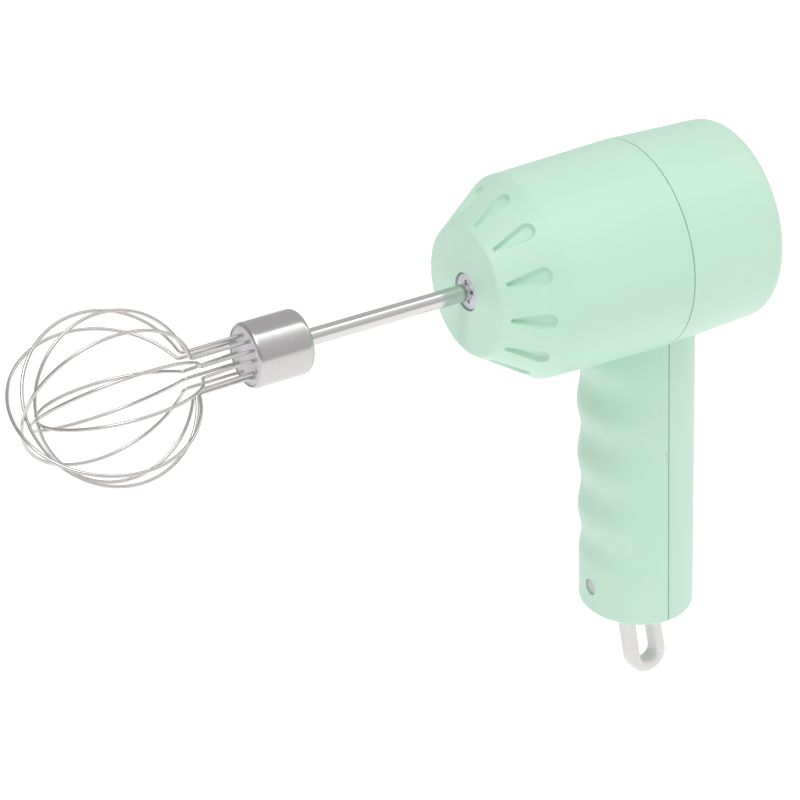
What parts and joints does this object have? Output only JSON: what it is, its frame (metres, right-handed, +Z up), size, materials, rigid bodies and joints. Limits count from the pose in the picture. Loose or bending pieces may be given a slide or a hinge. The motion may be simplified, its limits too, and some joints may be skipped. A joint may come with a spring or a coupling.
{
  "type": "hand mixer",
  "caption": "Cordless pistol-grip hand mixer with a round barrel, petal-recessed nose cone, pull-out balloon whisk, finger-wave grip and hanging loop.",
  "frame": {"origin": "middle of the pistol grip, on the parting plane of the two housing shells", "axes": "+X forward along the barrel towards the whisk, +Y the mixer's left side, +Z up, barrel axis 88 mm above the origin"},
  "size_m": [0.2761, 0.074, 0.2088],
  "materials": {
    "mint_plastic": "moulded ABS, fine satin texture",
    "pale_grey_plastic": "moulded acetal, light grey, satin",
    "loop_rubber": "soft translucent light grey thermoplastic elastomer",
    "lens_grey": "smoke grey diffusing acrylic",
    "polished_steel": "polished stainless steel",
    "brushed_steel": "spun and brushed stainless steel",
    "zinc_steel": "zinc plated steel",
    "bronze": "oil filled sintered bronze",
    "copper": "enamelled copper and copper alloy",
    "magnet_ferrite": "ferrite, matt dark grey",
    "carbon": "carbon graphite",
    "board_green": "glass-fibre circuit board with solder mask",
    "black_plastic": "black moulded plastic",
    "white_nylon": "natural nylon",
    "seal_rubber": "black nitrile rubber",
    "cell_wrap": "shrink-wrapped steel can",
    "lead_red": "silicone insulated wire, red",
    "lead_black": "silicone insulated wire, black"
  },
  "bodies": {
    "housing": {"front_shell": "mint_plastic", "rear_shell": "mint_plastic", "housing_screws": "zinc_steel", "switch_board": "board_green", "tact_switch": "black_plastic", "board_screws": "zinc_steel", "charge_board": "board_green", "usb_socket": "zinc_steel", "led_chip": "white_nylon", "indicator_lens": "lens_grey", "battery_cell": "cell_wrap", "battery_cradle": "black_plastic", "battery_tabs": "zinc_steel", "charge_lead_red": "lead_red", "charge_lead_black": "lead_black", "battery_lead_red": "lead_red", "battery_lead_black": "lead_black", "motor_can": "zinc_steel", "motor_magnets": "magnet_ferrite", "motor_end_cap": "black_plastic", "motor_terminals": "copper", "motor_bush_front": "bronze", "motor_bush_rear": "bronze", "motor_brushes": "carbon", "motor_screws": "zinc_steel", "gearbox_housing": "white_nylon", "gearbox_cover": "white_nylon", "gearbox_screws": "zinc_steel", "spindle_bush_rear": "bronze", "spindle_bush_front": "bronze", "loop_pin": "zinc_steel"},
    "button": {"speed_button": "mint_plastic"},
    "rotor": {"motor_shaft": "zinc_steel", "motor_armature": "copper", "motor_commutator": "copper", "sun_pinion": "zinc_steel"},
    "spindle": {"output_spindle": "pale_grey_plastic", "carrier_plate": "zinc_steel", "planet_pins": "zinc_steel", "grip_ring": "seal_rubber"},
    "planet_1": {"planet_gear_1": "white_nylon"},
    "planet_2": {"planet_gear_2": "white_nylon"},
    "planet_3": {"planet_gear_3": "white_nylon"},
    "whisk": {"whisk_shaft": "polished_steel", "whisk_cup": "brushed_steel", "wire_plug": "pale_grey_plastic", "whisk_wire_1": "polished_steel", "whisk_wire_2": "polished_steel", "whisk_wire_3": "polished_steel", "whisk_wire_4": "polished_steel", "whisk_wire_5": "polished_steel", "whisk_wire_6": "polished_steel"},
    "loop": {"hang_loop": "loop_rubber"}
  },
  "joints": [
    {"name": "spindle_spin", "type": "hinge", "parent": "housing", "child": "spindle", "pos_m": [0.05, 0, 0.088], "axis": [1, 0, 0], "continuous": true},
    {"name": "rotor_spin", "type": "hinge", "parent": "housing", "child": "rotor", "pos_m": [0, 0, 0.088], "axis": [1, 0, 0], "continuous": true},
    {"name": "planet_1_spin", "type": "hinge", "parent": "spindle", "child": "planet_1", "pos_m": [0.02, 0, 0.097], "axis": [1, 0, 0], "continuous": true},
    {"name": "planet_2_spin", "type": "hinge", "parent": "spindle", "child": "planet_2", "pos_m": [0.02, -0.00779, 0.0835], "axis": [1, 0, 0], "continuous": true},
    {"name": "planet_3_spin", "type": "hinge", "parent": "spindle", "child": "planet_3", "pos_m": [0.02, 0.00779, 0.0835], "axis": [1, 0, 0], "continuous": true},
    {"name": "whisk_pull", "type": "slide", "parent": "spindle", "child": "whisk", "axis": [1, 0, 0], "range_m": [0, 0.03]},
    {"name": "button_press", "type": "slide", "parent": "housing", "child": "button", "axis": [1, 0, 0], "range_m": [0, 0.0012], "stiffness_N_per_m": 600, "springref_m": -0.0012},
    {"name": "loop_swing", "type": "hinge", "parent": "housing", "child": "loop", "pos_m": [0, 0, -0.0484], "axis": [0, 1, 0], "range_deg": [-32, 15]}
  ],
  "couplings": [
    {"joint": "rotor_spin", "follows": "spindle_spin", "ratio": 4},
    {"joint": "planet_1_spin", "follows": "spindle_spin", "ratio": -3},
    {"joint": "planet_2_spin", "follows": "spindle_spin", "ratio": -3},
    {"joint": "planet_3_spin", "follows": "spindle_spin", "ratio": -3}
  ]
}
